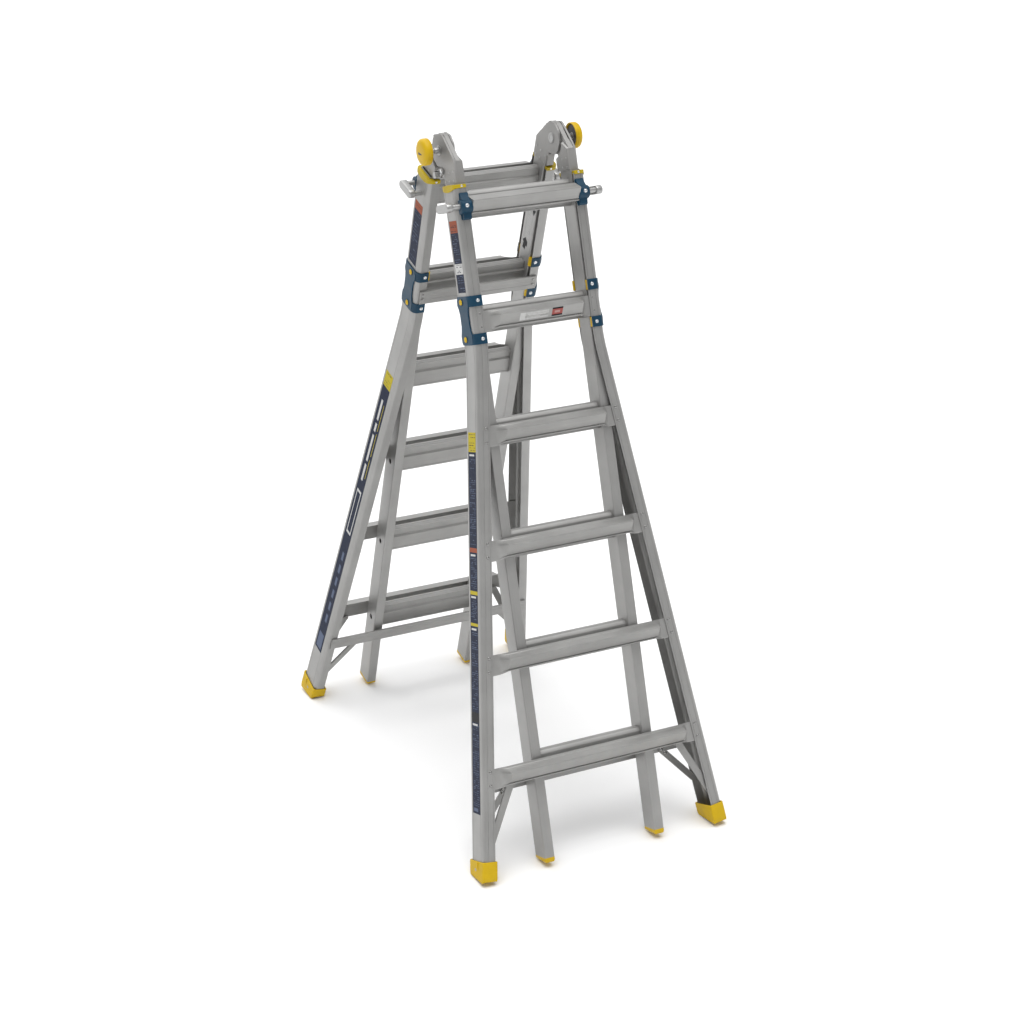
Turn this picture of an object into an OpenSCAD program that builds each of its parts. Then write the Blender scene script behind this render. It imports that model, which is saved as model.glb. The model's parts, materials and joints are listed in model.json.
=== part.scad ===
// Multi position ladder: two telescoping sections joined by lockable top hinges.
// Origin: middle of the footprint on the ground. +X along the rungs, front section towards -Y, +Z up.
// Each section is drawn hanging from the hinge axis: X across, n outwards from the fold, s down the rail.

/* [Stance] */
// Lean of each section from the vertical, degrees
lean = 17.11; // [16.8:0.01:17.4]
// Distance along the rail from the hinge axis to the sole of the foot
foot_s = 1957; // [1955:1:1958]
// Thickness at which the sole turns from the heel pad to the square toe, from the fold plane
foot_n = 51.5; // [50:0.5:53]

/* [Rungs] */
// Hinge axis to the first rung
first_rung = 154.3; // [153:0.1:155]
// Spacing of the rungs
pitch = 304.8; // [304:0.1:305]

/* [Inner rails] */
// Outer face of the inner rail from the middle of the ladder
inner_x = 187; // [186.8:0.1:187.2]
// Width of the inner rail across the ladder
inner_w = 29.7; // [29:0.1:30]
// Back of the inner rail from the fold plane
inner_back = 20.5; // [20.3:0.1:20.7]
// Front of the inner rail from the fold plane
inner_front = 82.9; // [82.5:0.1:83]
// Wall of the inner rail
inner_wall = 1.9; // [1.8:0.1:2.2]

/* [Outer rails] */
// Outer face of the outer rail above the bend
outer_x = 193.8; // [193.6:0.1:194]
// Front flange face from the fold plane
outer_front = 94.5; // [94.3:0.1:94.7]
// Back flange face from the fold plane
outer_back = 9; // [8.8:0.1:9.2]
// Wall of the outer rail
outer_wall = 2.2; // [2:0.1:2.6]
// Virtual corner of the bend, down the rail
bend_s = 552.5; // [551:0.5:554]
// Splay of the lower rail, degrees
flare = 7.61; // [7.4:0.01:7.7]
// Bend tangent length on each side of the corner
bend_t = 30; // [25:1:30]

/* [Hinges] */
// Radius of the hinge disc
disc_r = 46; // [45:0.5:46.5]
// Radius of the hinge pivot tube
pivot_r = 12; // [11:0.5:13]
// Radius of the knob stem
stem_r = 7.9; // [7:0.1:8]
// Radius of the knob
knob_r = 36; // [34:0.5:37]

/* [Locks] */
// Radius of the lock pin bars
bar_r = 7; // [6.5:0.1:7.2]

/* [Hidden] */
$fn = 64;
gap = 0.3;
skin = 0.1;
levels = 6;
pivot_h = foot_s * cos(lean) - foot_n * sin(lean);
slope = tan(flare);
inner_in = inner_x - inner_w;
web_in = outer_x - outer_wall;
rail_top = 104;
rail_end = 1938;
inner_top = 94;
inner_end = 1936;
cap_end = 1948;
bend_r = bend_t / tan(flare / 2);
bend_lap = 0.3;
lock_n = 51;
lock_s = 3;
bar_n = 103.5;
bar_s = 1.5;
link_x = 214;
hinge_in = 155;
hinge_out = 182;
inner_plate = 5.8;
shoulder_r = 58;
play = 1.6;
latch_t = 3;
band_t = 3.2;
band_tall = 29;
bands = [first_rung + 237, first_rung + 338];
front_lip = 35;
back_lip = 32.6;
corner_x = 12;
corner_front = 14;
corner_back = 16.7;

rung_outline = [[94.5, -24.5], [104, -21], [129, -10], [108, 21], [94.5, 25]];
rung_hollow = [[96.7, -21.4], [104, -18.8], [125.6, -9.2], [106.8, 18.9], [96.7, 22]];

// ---- rules ----
function rung_s(k) = first_rung + k * pitch;
function rail_x(s) = outer_x + max(0, s - bend_s) * slope;
// Quarter turn of a corner about (cx, cy), with radii rx and ry, from angle a to angle b
function turn(cx, cy, rx, ry, a, b, steps = 6) =
    [for (i = [0:steps]) let (t = a + (b - a) * i / steps) [cx + rx * cos(t), cy + ry * sin(t)]];
// Outer rail contour inset by t: x from the web face, y the depth n
function contour(t) = concat(
    [[-front_lip, outer_front - t]],
    turn(-corner_x, outer_front - corner_front, corner_x - t, corner_front - t, 90, 0),
    turn(-corner_x, outer_back + corner_back, corner_x - t, corner_back - t, 0, -90),
    [[-back_lip, outer_back + t]]);
function backwards(list) = [for (i = [len(list) - 1:-1:0]) list[i]];

// ---- placing ----
module front() { translate([0, 0, pivot_h]) rotate([-lean, 0, 0]) children(); }
module rear() { mirror([0, 1, 0]) front() children(); }
module section(which) { if (which == "front") front() children(); else rear() children(); }
module side(which) { if (which == "right") children(); else mirror([1, 0, 0]) children(); }
module both() { children(); mirror([1, 0, 0]) children(); }
// Children drawn in (x, n), extruded down the rail
module along(s0, s1) { translate([0, 0, -s1]) mirror([0, 1, 0]) linear_extrude(s1 - s0) children(); }
// Children drawn in (n, s), extruded across the ladder
module across(x0, x1) { translate([x0, 0, 0]) rotate([-90, 0, -90]) linear_extrude(x1 - x0) children(); }
// Children drawn in (x, s), extruded through the depth
module facing(n0, n1) { translate([0, -n1, 0]) rotate([-90, 0, 0]) linear_extrude(n1 - n0) children(); }
// Splayed frame of the lower rail: x from the web face, distance down the splay from the bend corner
module splay() { translate([outer_x, 0, -bend_s]) rotate([0, -flare, 0]) children(); }
function down(s) = (s - bend_s) / cos(flare);
module below_ground() {
    rotate([lean, 0, 0]) translate([-500, -1200, -pivot_h - 100]) cube([1000, 2400, 100]);
}
// Rivet head standing out of a face towards +n (up = 1) or -n (up = -1)
module head_on_face(x, n, s, r, h, up = 1) {
    translate([x, -n, -s]) rotate([up * 90, 0, 0]) head(r, h);
}
// Rivet head standing out towards +x
module head_on_side(x, n, s, r, h, out = 1) {
    translate([x, -n, -s]) rotate([0, out * 90, 0]) head(r, h);
}
// Low dome of radius r and height h
module head(r, h) {
    ball = (r * r + h * h) / (2 * h);
    intersection() {
        translate([0, 0, h - ball]) sphere(ball);
        cylinder(h = h, r = r);
    }
}

// ---- inner section ----
// Box section of the inner rail inset by t, in (x, n), with rounded corners
module inner_box(t) {
    r = 3.4 - t;
    x0 = inner_in + t + r;
    x1 = inner_x - t - r;
    n0 = inner_back + t + r;
    n1 = inner_front - t - r;
    polygon(concat(turn(x1, n1, r, r, 90, 0, 4), turn(x1, n0, r, r, 0, -90, 4),
        turn(x0, n0, r, r, -90, -180, 4), turn(x0, n1, r, r, 180, 90, 4)));
}
module inner_rail() {
    difference() {
        along(inner_top, inner_end) difference() {
            inner_box(0);
            inner_box(inner_wall);
        }
        for (k = [0:levels - 1])
            across(inner_x - inner_wall - 1, inner_x + 1)
                translate([lock_n, rung_s(k) + lock_s]) circle(bar_r + 1);
    }
}

module inner_rail_cap() {
    plug = 20;
    slant = 5;
    along(inner_end - plug, inner_end) inner_box(inner_wall);
    intersection() {
        along(inner_end, cap_end) inner_box(0);
        across(inner_in, inner_x) polygon([
            [inner_back, inner_end], [inner_front, inner_end], [inner_front, cap_end],
            [inner_back + 24, cap_end], [inner_back, cap_end - slant]]);
    }
}

module inner_rungs() {
    outline = [[42, -39], [60, -39], [64, -37], [70, -27], [63, 35], [36.5, 35], [36.5, -13.4], [42, -16]];
    hollow = [[44, -36.8], [59, -36.8], [62.5, -35.3], [67.4, -26.8], [61, 32.8], [38.7, 32.8],
        [38.7, -11.9], [44, -14.6]];
    for (k = [0:levels - 1])
        translate([0, 0, -rung_s(k)]) across(-inner_in, inner_in) difference() {
            polygon(outline);
            polygon(hollow);
        }
}

// ---- hinges ----
arm_end = inner_top - skin;
// Arms of the two sections with their tangents to the disc, in (n, s)
module rear_arm() {
    polygon([[11, 0], [37, -27], [60, 7], [62, 8], [83, 36.5], [83, arm_end], [11, arm_end]]);
}
module front_arm() {
    polygon([[11, 0], [36.3, -28], [64, 8], [83, 35], [83, arm_end], [11, arm_end]]);
}
// Block that fills the head of the inner rail
module arm_root() {
    root = 46;
    along(arm_end - 1, inner_top + root) intersection() {
        inner_box(inner_wall + skin);
        square([hinge_out, inner_front]);
    }
}
// Lap hinge: the rear plate lies inside, the front plate outside, and each arm widens below the discs
module hinge_inner() {
    arm_root();
    difference() {
        union() {
            across(hinge_in, hinge_in + inner_plate) { circle(disc_r); rear_arm(); }
            across(hinge_in, hinge_out) difference() { rear_arm(); circle(shoulder_r); }
        }
        across(hinge_in - 1, hinge_out + 1) circle(pivot_r);
    }
}
module hinge_outer() {
    arm_root();
    difference() {
        union() {
            across(hinge_in + inner_plate + play, hinge_out) { circle(disc_r); front_arm(); }
            across(hinge_in, hinge_out) difference() { front_arm(); circle(shoulder_r); }
        }
        across(hinge_in - 1, hinge_out + 1) circle(pivot_r + 0.05);
    }
}
module hinge_rivets() {
    spots = [[17, 63], [17, 85], [45, 85], [70, 87], [72, 62]];
    for (spot = spots) {
        head_on_side(hinge_out, spot[0], spot[1], 4.2, 1.5);
        head_on_side(hinge_in, spot[0], spot[1], 4.2, 1.5, -1);
    }
}
module hinge_pivot() {
    boss = 17;
    difference() {
        union() {
            across(hinge_in - skin, hinge_out + skin) circle(pivot_r);
            across(hinge_out + skin, hinge_out + 2.6) circle(boss);
            across(hinge_out + 2.6, hinge_out + 6) circle(boss - 5);
            across(hinge_in - 2.2, hinge_in - skin) circle(boss - 2);
        }
        across(hinge_in - 5, hinge_out + 9) circle(stem_r + 0.1);
    }
}
module hinge_knob() {
    head_x = 214;
    rim = 5;
    well = 15;
    across(hinge_in + 8, head_x + well + 1) circle(stem_r);
    translate([head_x, 0, 0]) rotate([0, 90, 0]) rotate_extrude()
        polygon(concat(
            [[0, well], [knob_r - rim, well], [knob_r - rim, 0], [knob_r - 1.5, 0], [knob_r, 1.5]],
            turn(knob_r - 12, 13, 12, 9.5, 0, 60, 6),
            [[20, 23.8], [0, 24.4]]));
}
module hinge_latch() {
    latch_x = hinge_out + 3;
    across(latch_x, latch_x + latch_t) {
        translate([8, 56]) circle(8.5);
        polygon([[8, 47.5], [-16, 51], [-22, 54], [-22, 72], [-6, 72], [2, 66], [8, 64.5]]);
    }
    across(latch_x + latch_t, latch_x + latch_t + 12) polygon([[-21, 55], [-21, 71], [-6, 71], [-6, 55]]);
    across(hinge_out + skin, latch_x) translate([8, 56]) circle(6);
    head_on_side(latch_x + latch_t, 8, 56, 5.5, 2);
}

// ---- outer section ----
module rail_shell() {
    groove = 0.6;
    difference() {
        polygon(concat(contour(0), backwards(contour(outer_wall))));
        for (n = [28.5, 77.5]) translate([-groove, n - 0.7]) square([2, 1.4]);
        for (u = [-15, -31]) translate([u, outer_front - groove]) square([1.4, 2]);
    }
}
module bend_sweep() {
    translate([outer_x + bend_r, 0, -bend_s + bend_t]) rotate([0, 180, 0]) rotate([90, 0, 0])
        rotate_extrude(angle = flare) translate([bend_r, 0]) mirror([1, 0]) children();
}
module outer_rail() {
    difference() {
        union() {
            along(rail_top, bend_s - bend_t) translate([outer_x, 0]) rail_shell();
            bend_sweep() rail_shell();
            splay() along(bend_t - bend_lap, down(rail_end)) rail_shell();
        }
        across(web_in - 1, outer_x + 1) translate([lock_n, rung_s(0) + lock_s]) circle(bar_r + 1);
    }
}

// Rung with ends swaged flat behind the front flanges at rail width w
module swaged_rung(s, w, reach, flat, blend, up, low, lean_end) {
    deep = 36;
    sheet = 3.3;
    seat = outer_front - outer_wall - sheet;
    translate([0, 0, -s]) difference() {
        union() {
            intersection() {
                across(-w, w) polygon(rung_outline);
                along(-deep - 4, deep + 4) polygon([
                    [-(w - flat), seat], [w - flat, seat], [w - flat, seat + sheet],
                    [w - blend, outer_front + deep], [-(w - blend), outer_front + deep],
                    [-(w - flat), seat + sheet]]);
            }
            both() {
                facing(seat, seat + sheet) polygon([
                    [w - blend - 4, -24], [w - flat, -up], [w - reach - up * lean_end, -up],
                    [w - reach + low * lean_end, low], [w - flat, low], [w - blend - 4, 24]]);
                facing(seat + 1, outer_front + skin) polygon([
                    [w - blend - 4, -24], [w - flat - 2, -24], [w - flat - 2, 24], [w - blend - 4, 24]]);
            }
        }
        across(-(w - blend - 2), w - blend - 2) polygon(rung_hollow);
    }
}
module top_rung() {
    translate([0, 0, -rung_s(0)]) across(-158, 158) difference() {
        polygon(rung_outline);
        polygon(rung_hollow);
    }
}
module bend_rung() { swaged_rung(rung_s(1), outer_x, 13, 49, 66, 30, 31, 0); }
module lower_rungs() {
    for (k = [2:levels - 1]) swaged_rung(rung_s(k), rail_x(rung_s(k)), 13, 50, 72, 24.5, 32, slope);
}
module rung_rivets() {
    both() {
        for (k = [2:levels - 1]) for (up = [-18.4, 18.4])
            head_on_face(rail_x(rung_s(k) + up) - 23, outer_front, rung_s(k) + up, 4.5, 1.8);
        for (up = [-18, 18])
            head_on_face(outer_x - 24, outer_front, rung_s(1) + up, 4.5, 1.8);
        for (s = [306, 322])
            head_on_face(172, 3, first_rung + s, 4, 1.6, -1);
    }
}

module back_crossbar() {
    x = outer_x - corner_x;
    facing(3, outer_back) translate([-x, first_rung + 296]) square([2 * x, 40]);
}
module lower_back_bar() {
    top = first_rung + 1549;
    tall = 37;
    facing(3, outer_back) polygon([
        [-(rail_x(top) - 14), top], [rail_x(top) - 14, top],
        [rail_x(top + tall) - 14, top + tall], [-(rail_x(top + tall) - 14), top + tall]]);
}
// Flat stay between (x0, s0) and (x1, s1), w wide, drawn in (x, s)
module stay(x0, s0, x1, s1, w) {
    a = atan2(s1 - s0, x1 - x0);
    long = sqrt(pow(x1 - x0, 2) + pow(s1 - s0, 2));
    translate([x0, s0]) rotate(a) {
        translate([0, -w / 2]) square([long, w]);
        circle(w / 2);
        translate([long, 0]) circle(w / 2);
    }
}
module braces() {
    both() {
        // front stays: rung to rail, behind the front flange
        facing(86.3, 88.7) stay(262, first_rung + 1552, 344, first_rung + 1706, 21);
        facing(88.7, outer_front) translate([254, first_rung + 1549]) circle(8);
        facing(88.7, outer_front - outer_wall) translate([338, first_rung + 1695]) circle(7);
        // back stays: lower back bar to rail, inside the back flange
        facing(11.5, 14.2) stay(246, first_rung + 1580, 336, first_rung + 1680, 18);
        facing(outer_back + skin, 11.5) translate([246, first_rung + 1577]) circle(7);
    }
}

module foot() {
    top = down(1902);
    wide = 40;
    difference() {
        splay() difference() {
            along(top, down(foot_s) + 30) difference() {
                translate([-wide, 6]) square([wide + 4, 92]);
                translate([2, 4]) rotate(45) square([8, 8], center = true);
                translate([5, 99]) rotate(45) square([12, 12], center = true);
            }
            along(top - 1, down(rail_end)) translate([-front_lip - skin, outer_back - skin])
                square([front_lip + 2 * skin, outer_front - outer_back + 2 * skin]);
        }
        below_ground();
        along(foot_s, foot_s + 80) translate([200, foot_n]) square([300, 80]);
        along(foot_s + 4, foot_s + 80) translate([200, -20]) square([300, 140]);
    }
}
module foot_rivet() { splay() translate([4, -48, -down(1925)]) rotate([0, 90, 0]) head(5, 1.8); }

module top_collar() {
    s0 = 97;
    s1 = 112;
    inside = 161;
    outside = outer_x + 2;
    bore = inner_front - inner_back + 2 * gap;
    difference() {
        along(s0, s1) difference() {
            translate([inside, 6.8]) square([outside - inside, 90.2]);
            translate([inside - 8, inner_back - gap]) square([inner_x + gap - inside + 8, bore]);
            for (n = [6.8, 97]) translate([outside, n]) rotate(45) square([12, 12], center = true);
        }
        along(rail_top, s1 + 1) translate([outer_x, 0]) polygon(concat(contour(0), backwards(contour(outer_wall))));
    }
}

module bend_bracket() {
    web_top = first_rung + 228;
    web_low = first_rung + 367.5;
    difference() {
        union() {
            for (s = bands) along(s, s + band_tall) translate([outer_x, 0]) polygon(concat(
                [[-front_lip, outer_front + band_t]],
                turn(-corner_x, outer_front - corner_front, corner_x + band_t, corner_front + band_t, 90, 0),
                turn(-corner_x, outer_back + corner_back, corner_x + band_t, corner_back + band_t, 0, -90),
                [[-back_lip, outer_back - band_t]]));
            across(outer_x, outer_x + band_t) polygon([
                [38, web_top], [66, web_top], [72, bands[0]], [84, bands[0] + 4],
                [84, bands[0] + 26], [79, bands[0] + 40], [79, bands[1] - 10], [84, bands[1]],
                [84, web_low - 3], [22, web_low - 3], [22, bands[1]], [27, bands[1] - 10],
                [27, bands[0] + 40], [22, bands[0] + 26], [22, bands[0] + 4], [32, bands[0]]]);
        }
        along(first_rung + 200, first_rung + 400) translate([outer_x, 0]) {
            polygon(contour(0));
            translate([-front_lip - 10, outer_back]) square([20, outer_front - outer_back]);
        }
    }
}
module glide_pads() {
    slack = 0.15;
    for (s = bands) {
        along(s, s + band_tall) difference() {
            translate([outer_x, 0]) intersection() {
                polygon(contour(outer_wall + slack));
                translate([-60, 0]) square([80, 120]);
            }
            translate([100, inner_back - gap])
                square([inner_x + gap - 100, inner_front - inner_back + 2 * gap]);
        }
        along(s + 2, s + band_tall - 2) {
            translate([outer_x - back_lip - 6, outer_back + outer_wall + gap])
                square([6, inner_back - outer_back - outer_wall - 2 * gap]);
        }
    }
    for (s = [252, 352]) head_on_side(outer_x + band_t, 45, first_rung + s, 7.6, 3.2);
}
module bracket_bolts() {
    for (s = [250.6, 353]) {
        head_on_face(outer_x - 22, outer_front + band_t, first_rung + s, 5.5, 3);
        head_on_face(outer_x - 22, outer_back - band_t, first_rung + s, 5.5, 3, -1);
    }
}

module lock_housing() {
    face = outer_front;
    translate([0, 0, -rung_s(0)]) difference() {
        union() {
            facing(face, face + 5) polygon([
                [160, -34], [183, -34], [186, -11], [186, 21], [187, 38], [160, 38], [158, 30], [158, -11]]);
            across(158, 191) polygon([[face, -13], [114, -13], [120, -8], [120, 14], [112, 22], [face, 22]]);
            across(160, 184) polygon([[face, 20], [108, 20], [102, 38], [face, 38]]);
        }
        across(150, 200) translate([bar_n, bar_s]) circle(bar_r + 0.05);
        along(-60, 60) translate([outer_x, 0]) polygon(contour(0));
    }
}
module housing_bolt() { head_on_face(175, 120, rung_s(0) + 0.5, 6.5, 3); }
module lock_pin() {
    link_w = 18;
    translate([0, 0, -rung_s(0)]) {
        across(187, link_x + 2) translate([bar_n, bar_s]) circle(bar_r);
        across(inner_x + 1, link_x + 2) translate([lock_n, lock_s]) circle(bar_r);
        across(link_x, link_x + link_w) translate([0, bar_s / 2 + lock_s / 2]) {
            translate([lock_n, -11.5]) square([bar_n - lock_n, 23]);
            translate([lock_n, 0]) circle(11.5);
            translate([bar_n, 0]) circle(11.5);
        }
    }
}

module labels() {
    thick = 0.25;
    edge0 = 29.4;
    edge1 = 76.6;
    across(outer_x, outer_x + thick) translate([edge0, first_rung + 36])
        square([edge1 - edge0, 190]);
    splay() across(0, thick) translate([edge0, down(first_rung + 598)])
        square([edge1 - edge0, down(first_rung + 1619) - down(first_rung + 598)]);
}

// ---- nodes ----
metal = "#a6a5a3";
module v_inner_rail(w, h) { color(metal) section(w) side(h) inner_rail(); }
module v_inner_rungs(w) { color("#9d9c9a") section(w) inner_rungs(); }
module v_inner_caps(w) { color("#d4ac1c") section(w) both() inner_rail_cap(); }
module v_inner_hinge(h) { color("#aaa8a5") rear() side(h) hinge_inner(); }
module v_outer_hinge(h) { color("#aaa8a5") front() side(h) hinge_outer(); }
module v_hinge_rivets(w) { color("#c4c4c2") section(w) both() hinge_rivets(); }
module v_outer_rail(w, h) { color(metal) section(w) side(h) outer_rail(); }
module v_top_rung(w) { color("#9d9c9a") section(w) top_rung(); }
module v_bend_rung(w) { color("#9d9c9a") section(w) bend_rung(); }
module v_lower_rungs(w) { color("#9d9c9a") section(w) lower_rungs(); }
module v_rung_rivets(w) { color("#c4c4c2") section(w) rung_rivets(); }
module v_back_crossbar(w) { color("#9d9c9a") section(w) back_crossbar(); }
module v_lower_back_bar(w) { color("#9d9c9a") section(w) lower_back_bar(); }
module v_braces(w) { color("#9d9c9a") section(w) braces(); }
module v_feet(w) { color("#d4ac1c") section(w) both() foot(); }
module v_foot_rivets(w) { color("#c4c4c2") section(w) both() foot_rivet(); }
module v_collars(w) { color("#d4ac1c") section(w) both() top_collar(); }
module v_brackets(w) { color("#1d4560") section(w) both() bend_bracket(); }
module v_glide_pads(w) { color("#d4ac1c") section(w) both() glide_pads(); }
module v_bracket_bolts(w) { color("#c4c4c2") section(w) both() bracket_bolts(); }
module v_housings(w) { color("#1d4560") section(w) both() lock_housing(); }
module v_housing_bolts(w) { color("#c4c4c2") section(w) both() housing_bolt(); }
module v_lock_pin(w, h) { color("#b8b8b8") section(w) side(h) lock_pin(); }
module v_labels(w) { color("#22355a") section(w) side("left") labels(); }
module hinge_pivots() { color("#9a9a9a") translate([0, 0, pivot_h]) both() hinge_pivot(); }
module v_knob(h) { color("#d4ac1c") translate([0, 0, pivot_h]) side(h) hinge_knob(); }
module v_latch(h) { color("#b8b8b8") front() side(h) hinge_latch(); }

v_inner_rail("front", "left");  // front_inner_rail_left
v_inner_rail("front", "right");  // front_inner_rail_right
v_inner_rungs("front");  // front_inner_rungs
v_inner_caps("front");  // front_inner_rail_caps
v_outer_hinge("left");  // front_hinge_left
v_outer_hinge("right");  // front_hinge_right
v_hinge_rivets("front");  // front_hinge_rivets
v_outer_rail("front", "left");  // front_outer_rail_left
v_outer_rail("front", "right");  // front_outer_rail_right
v_top_rung("front");  // front_top_rung
v_bend_rung("front");  // front_bend_rung
v_lower_rungs("front");  // front_lower_rungs
v_rung_rivets("front");  // front_rung_rivets
v_back_crossbar("front");  // front_back_crossbar
v_lower_back_bar("front");  // front_lower_back_bar
v_braces("front");  // front_braces
v_feet("front");  // front_feet
v_foot_rivets("front");  // front_foot_rivets
v_collars("front");  // front_top_collars
v_brackets("front");  // front_bend_brackets
v_glide_pads("front");  // front_glide_pads
v_bracket_bolts("front");  // front_bracket_bolts
v_housings("front");  // front_lock_housings
v_housing_bolts("front");  // front_housing_bolts
v_lock_pin("front", "left");  // front_lock_pin_left
v_lock_pin("front", "right");  // front_lock_pin_right
v_labels("front");  // front_labels
v_inner_rail("rear", "left");  // rear_inner_rail_left
v_inner_rail("rear", "right");  // rear_inner_rail_right
v_inner_rungs("rear");  // rear_inner_rungs
v_inner_caps("rear");  // rear_inner_rail_caps
v_inner_hinge("left");  // rear_hinge_left
v_inner_hinge("right");  // rear_hinge_right
v_hinge_rivets("rear");  // rear_hinge_rivets
v_outer_rail("rear", "left");  // rear_outer_rail_left
v_outer_rail("rear", "right");  // rear_outer_rail_right
v_top_rung("rear");  // rear_top_rung
v_bend_rung("rear");  // rear_bend_rung
v_lower_rungs("rear");  // rear_lower_rungs
v_rung_rivets("rear");  // rear_rung_rivets
v_back_crossbar("rear");  // rear_back_crossbar
v_lower_back_bar("rear");  // rear_lower_back_bar
v_braces("rear");  // rear_braces
v_feet("rear");  // rear_feet
v_foot_rivets("rear");  // rear_foot_rivets
v_collars("rear");  // rear_top_collars
v_brackets("rear");  // rear_bend_brackets
v_glide_pads("rear");  // rear_glide_pads
v_bracket_bolts("rear");  // rear_bracket_bolts
v_housings("rear");  // rear_lock_housings
v_housing_bolts("rear");  // rear_housing_bolts
v_lock_pin("rear", "left");  // rear_lock_pin_left
v_lock_pin("rear", "right");  // rear_lock_pin_right
v_labels("rear");  // rear_labels
hinge_pivots();
v_knob("left");  // hinge_knob_left
v_knob("right");  // hinge_knob_right
v_latch("left");  // hinge_latch_left
v_latch("right");  // hinge_latch_right
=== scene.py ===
import json
import math
import random

import bmesh
import bpy
from mathutils import Matrix, Vector


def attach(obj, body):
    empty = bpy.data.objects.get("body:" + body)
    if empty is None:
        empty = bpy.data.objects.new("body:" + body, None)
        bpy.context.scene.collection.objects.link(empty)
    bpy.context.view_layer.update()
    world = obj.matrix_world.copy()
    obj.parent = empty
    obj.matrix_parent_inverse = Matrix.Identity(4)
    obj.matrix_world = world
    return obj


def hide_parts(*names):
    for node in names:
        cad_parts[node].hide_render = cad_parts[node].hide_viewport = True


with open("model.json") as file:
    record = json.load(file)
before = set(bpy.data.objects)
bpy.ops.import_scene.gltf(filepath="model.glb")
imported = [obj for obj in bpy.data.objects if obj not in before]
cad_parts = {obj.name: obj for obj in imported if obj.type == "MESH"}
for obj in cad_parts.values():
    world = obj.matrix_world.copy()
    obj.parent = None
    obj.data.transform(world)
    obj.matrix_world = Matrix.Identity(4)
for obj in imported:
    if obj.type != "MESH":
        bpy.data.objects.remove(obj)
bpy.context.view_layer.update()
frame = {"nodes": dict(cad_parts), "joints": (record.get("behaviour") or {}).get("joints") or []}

# A multi position ladder set up as a stepladder. Every outline is in millimetres in its section's own
# frame: x across the ladder, n outwards from the fold plane, s down the rail from the hinge axis.

JOINTS = {j["name"]: j for j in frame["joints"]}
PIVOT = Vector(JOINTS["hinge_fold"]["pos_m"])
DOWN = Vector(JOINTS["front_extend"]["axis"]).normalized()
LEAN = math.atan2(-DOWN.y, -DOWN.z)
MM = 0.001

ENDS = ("front", "rear")
HANDS = {"left": -1, "right": 1}

# ---- driving sizes, millimetres ----
FIRST_RUNG = 154.3
PITCH = 304.8
LEVELS = 6
INNER_X = (157.3, 187.0)
INNER_N = (20.5, 82.9)
OUTER_X = 193.8
OUTER_FRONT = 94.5
OUTER_BACK = 9.0
WALL = 2.2
BEND_S = 552.5
BEND_T = 30.0
FLARE = math.radians(7.61)
SLOPE = math.tan(FLARE)
BEND_R = BEND_T / math.tan(FLARE / 2)
RAIL_TOP = 104.0
RAIL_END = 1938.0
FOOT_S = 1957.0
FRONT_LIP = 35.0
BACK_LIP = 32.6
CORNER_X = 12.0
CORNER_FRONT = 14.0
CORNER_BACK = 16.7
BANDS = (FIRST_RUNG + 237, FIRST_RUNG + 338)
BAND_TALL = 29.0
BAND_T = 3.2
LOCK_N = 51.0
LOCK_S = FIRST_RUNG + 3.0
BAR_N = 103.5
BAR_S = FIRST_RUNG + 1.5
BAR_R = 7.0
LINK_X = (214.0, 232.0)
CROSSBAR = (FIRST_RUNG + 296, FIRST_RUNG + 336)
BACK_BAR = FIRST_RUNG + 1549
BRACKET_END = FIRST_RUNG + 367.5
BRACKET_BOLTS = (FIRST_RUNG + 250.6, FIRST_RUNG + 353)
PLUGS = (FIRST_RUNG + 252, FIRST_RUNG + 352)
PLUG_N = 45
COLLAR_X = 161.5
HINGE_X = (155.0, 182.0)
LABEL_N = (29.6, 76.4)


def rung_s(k):
    return FIRST_RUNG + k * PITCH


def rail_x(s):
    """Outer face of the outer rail at s."""
    return OUTER_X + max(0.0, s - BEND_S) * SLOPE


def ground_s(n):
    """Where the line down the rail at depth n meets the ground."""
    return (PIVOT.z / MM + n * math.sin(LEAN)) / math.cos(LEAN)


def section(end):
    """From a section's frame in millimetres to the row frame in metres."""
    c, s = math.cos(LEAN), math.sin(LEAN)
    m = Matrix(((1, 0, 0, 0), (0, -c, -s, 0), (0, s, -c, 0), (0, 0, 0, 1)))
    if end == "rear":
        m = Matrix.Diagonal((1, -1, 1, 1)) @ m
    return Matrix.Translation(PIVOT) @ m @ Matrix.Scale(MM, 4)


def at_pivot():
    """Frame of the parts on the hinge axis: x across, n towards the front, s straight down."""
    m = Matrix(((1, 0, 0, 0), (0, -1, 0, 0), (0, 0, -1, 0), (0, 0, 0, 1)))
    return Matrix.Translation(PIVOT) @ m @ Matrix.Scale(MM, 4)


# ---- mesh tools ----
def turn(cx, cy, rx, ry, a, b, steps=6):
    """Points of an arc about (cx, cy) from angle a to angle b, in degrees."""
    out = []
    for i in range(steps + 1):
        t = math.radians(a + (b - a) * i / steps)
        out.append((cx + rx * math.cos(t), cy + ry * math.sin(t)))
    return out


def rounded(x0, y0, x1, y1, r, steps=4):
    """Rectangle with rounded corners."""
    return (turn(x1 - r, y1 - r, r, r, 0, 90, steps) + turn(x0 + r, y1 - r, r, r, 90, 180, steps)
            + turn(x0 + r, y0 + r, r, r, 180, 270, steps) + turn(x1 - r, y0 + r, r, r, 270, 360, steps))


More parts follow.
